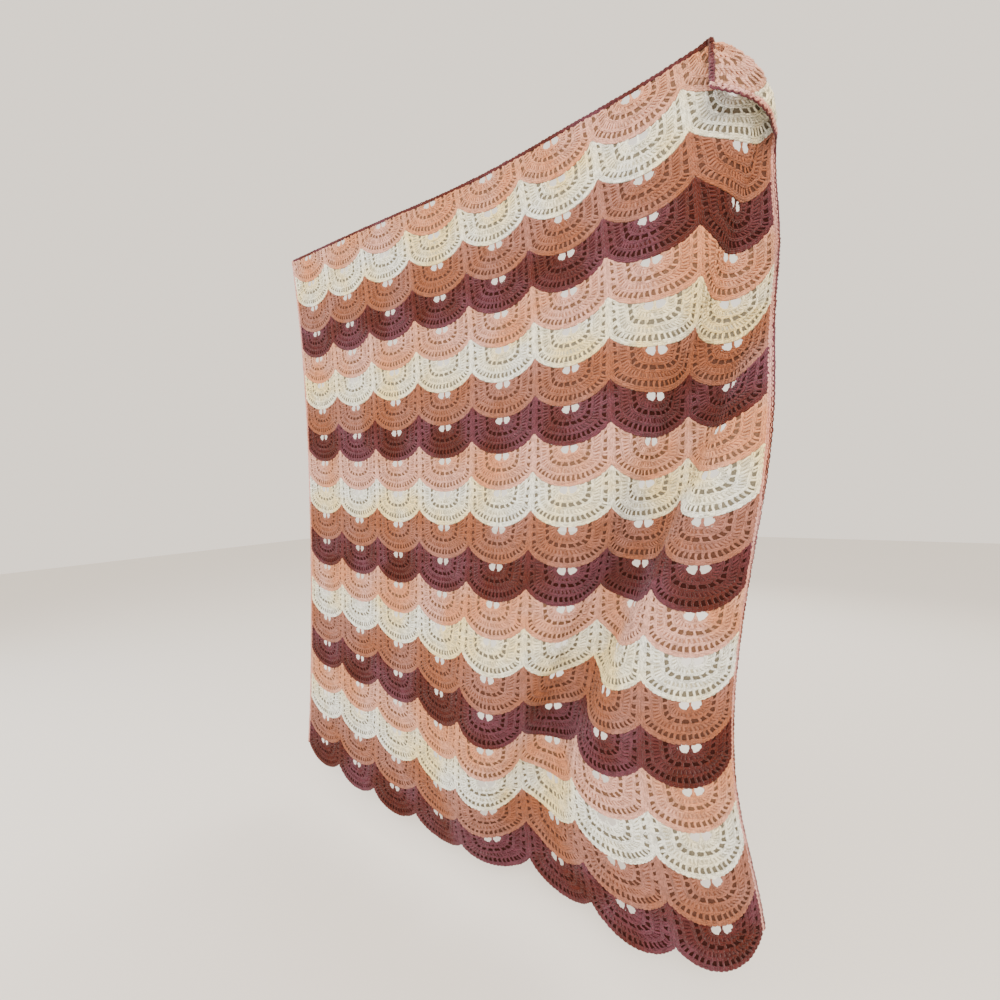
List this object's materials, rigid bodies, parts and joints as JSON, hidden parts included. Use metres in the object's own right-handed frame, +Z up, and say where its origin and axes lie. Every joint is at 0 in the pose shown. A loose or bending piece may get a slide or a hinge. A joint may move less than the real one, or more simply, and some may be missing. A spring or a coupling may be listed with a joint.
{
  "type": "crocheted throw blanket",
  "caption": "Open crocheted fan-ripple throw hung by its top corners, with scalloped colour stripes, a corded border and one corner folded forward.",
  "frame": {"origin": "middle of the straight line between the two top corners that the throw hangs from", "axes": "+Z up, against gravity; +X along the throw's width, to the right as seen from the front; -Y out of the front side"},
  "size_m": [1.2504, 0.1826, 1.5269],
  "materials": {
    "peach_yarn": "matte plied acrylic yarn, crocheted",
    "cream_yarn": "matte plied acrylic yarn, crocheted",
    "tan_yarn": "matte plied acrylic yarn, crocheted",
    "plum_brown_yarn": "matte plied acrylic yarn, crocheted",
    "edging_yarn": "matte plied acrylic yarn, single crochet cord"
  },
  "bodies": {
    "root": {"foundation_chain": "plum_brown_yarn", "stripe_01_peach": "peach_yarn", "stripe_02_cream": "cream_yarn", "stripe_03_tan": "tan_yarn", "stripe_04_plum_brown": "plum_brown_yarn", "stripe_05_peach": "peach_yarn", "stripe_06_cream": "cream_yarn", "stripe_07_tan": "tan_yarn", "stripe_08_plum_brown": "plum_brown_yarn", "stripe_09_peach": "peach_yarn", "stripe_10_cream": "cream_yarn", "stripe_11_tan": "tan_yarn", "stripe_12_plum_brown": "plum_brown_yarn", "stripe_13_peach": "peach_yarn", "stripe_14_cream": "cream_yarn", "stripe_15_tan": "tan_yarn", "stripe_16_plum_brown": "plum_brown_yarn", "stripe_17_peach": "peach_yarn", "stripe_18_cream": "cream_yarn", "stripe_19_tan": "tan_yarn", "stripe_20_plum_brown": "plum_brown_yarn", "left_edging": "edging_yarn", "right_edging": "edging_yarn"}
  },
  "joints": []
}
